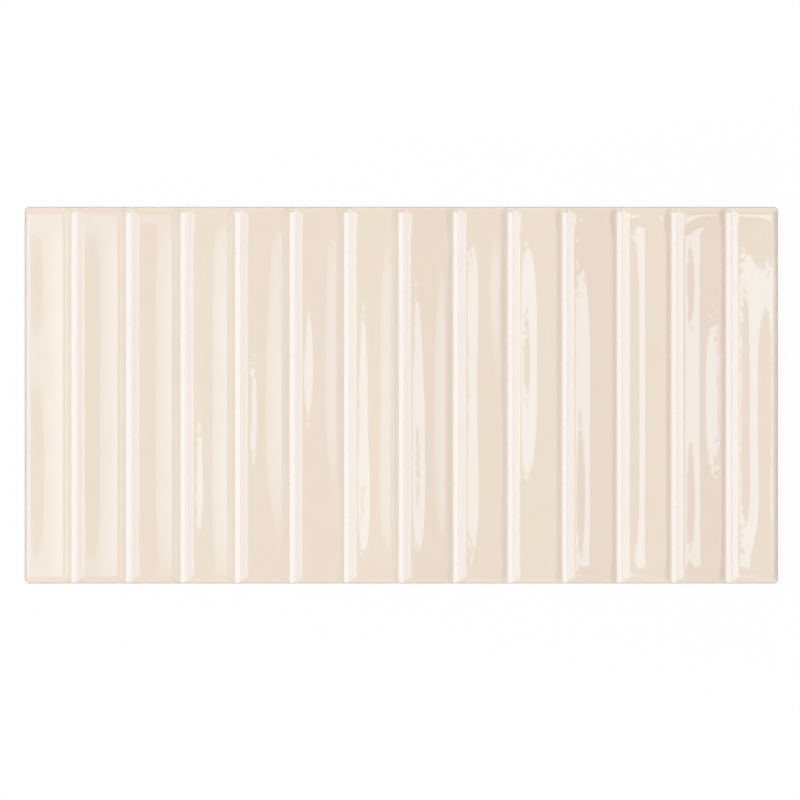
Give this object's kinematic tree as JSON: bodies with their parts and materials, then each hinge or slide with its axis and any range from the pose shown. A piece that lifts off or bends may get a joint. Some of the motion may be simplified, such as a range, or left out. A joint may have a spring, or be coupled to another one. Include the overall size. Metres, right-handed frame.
{
  "type": "ceramic wall tile",
  "caption": "Rectangular glazed wall tile pre-scored into a row of narrow dished bars, with white grout in the grooves, bevelled edges and a keyed back.",
  "frame": {"origin": "middle of the tile's outline, on the plane of its back", "axes": "+X along the long side, across the bars; +Y along the bars, towards the edge where the grout stops short; +Z out of the glazed face"},
  "size_m": [0.25, 0.125, 0.009],
  "materials": {
    "glaze": "glossy cream glaze over a pressed pale body, bare on the sides and back",
    "grout": "matte fine-grained white cement grout"
  },
  "bodies": {
    "root": {"tile": "glaze", "grout_strip_01": "grout", "grout_strip_02": "grout", "grout_strip_03": "grout", "grout_strip_04": "grout", "grout_strip_05": "grout", "grout_strip_06": "grout", "grout_strip_07": "grout", "grout_strip_08": "grout", "grout_strip_09": "grout", "grout_strip_10": "grout", "grout_strip_11": "grout", "grout_strip_12": "grout", "grout_strip_13": "grout"}
  },
  "joints": []
}
